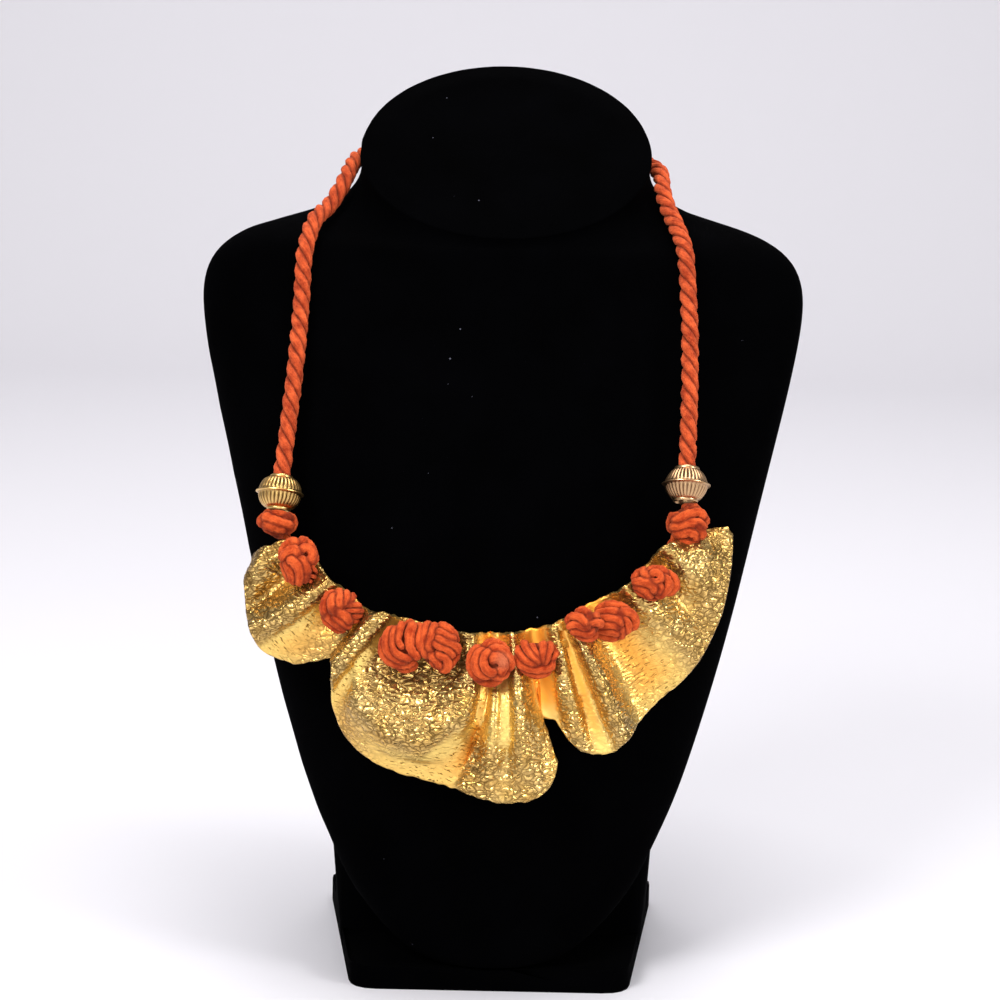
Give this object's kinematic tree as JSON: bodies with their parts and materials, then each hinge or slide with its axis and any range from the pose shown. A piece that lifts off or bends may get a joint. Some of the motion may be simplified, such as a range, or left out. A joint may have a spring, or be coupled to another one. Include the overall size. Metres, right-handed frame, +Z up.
{
  "type": "bib necklace on neck bust",
  "caption": "Ruffled cast metal bib hung from knotted cord, with fluted beads and twisted ropes that close in a barrel clasp, on a plain velvet neck bust.",
  "frame": {"origin": "middle of the base's underside, on the table", "axes": "+Z up, -Y out of the chest towards the viewer, +X to the viewer's right"},
  "size_m": [0.214, 0.1653, 0.305],
  "materials": {
    "velvet": "black velvet flock",
    "gold": "polished gold plate with a crackled cast texture",
    "cord": "matte twisted cotton, rust orange",
    "pale_gold": "satin antique gold plate"
  },
  "bodies": {
    "root": {"bust_body": "velvet", "bust_base": "velvet", "bib": "gold", "front_knot_1": "cord", "front_knot_2": "cord", "front_knot_3": "cord", "front_knot_4": "cord", "front_knot_5": "cord", "front_knot_6": "cord", "front_knot_7": "cord", "front_knot_8": "cord", "front_knot_9": "cord", "end_knot_left": "cord", "end_knot_right": "cord", "lace_cord": "cord", "neck_rope_left": "cord", "neck_rope_right": "cord", "bead_left": "pale_gold", "bead_right": "pale_gold", "barrel_clasp": "pale_gold"}
  },
  "joints": []
}
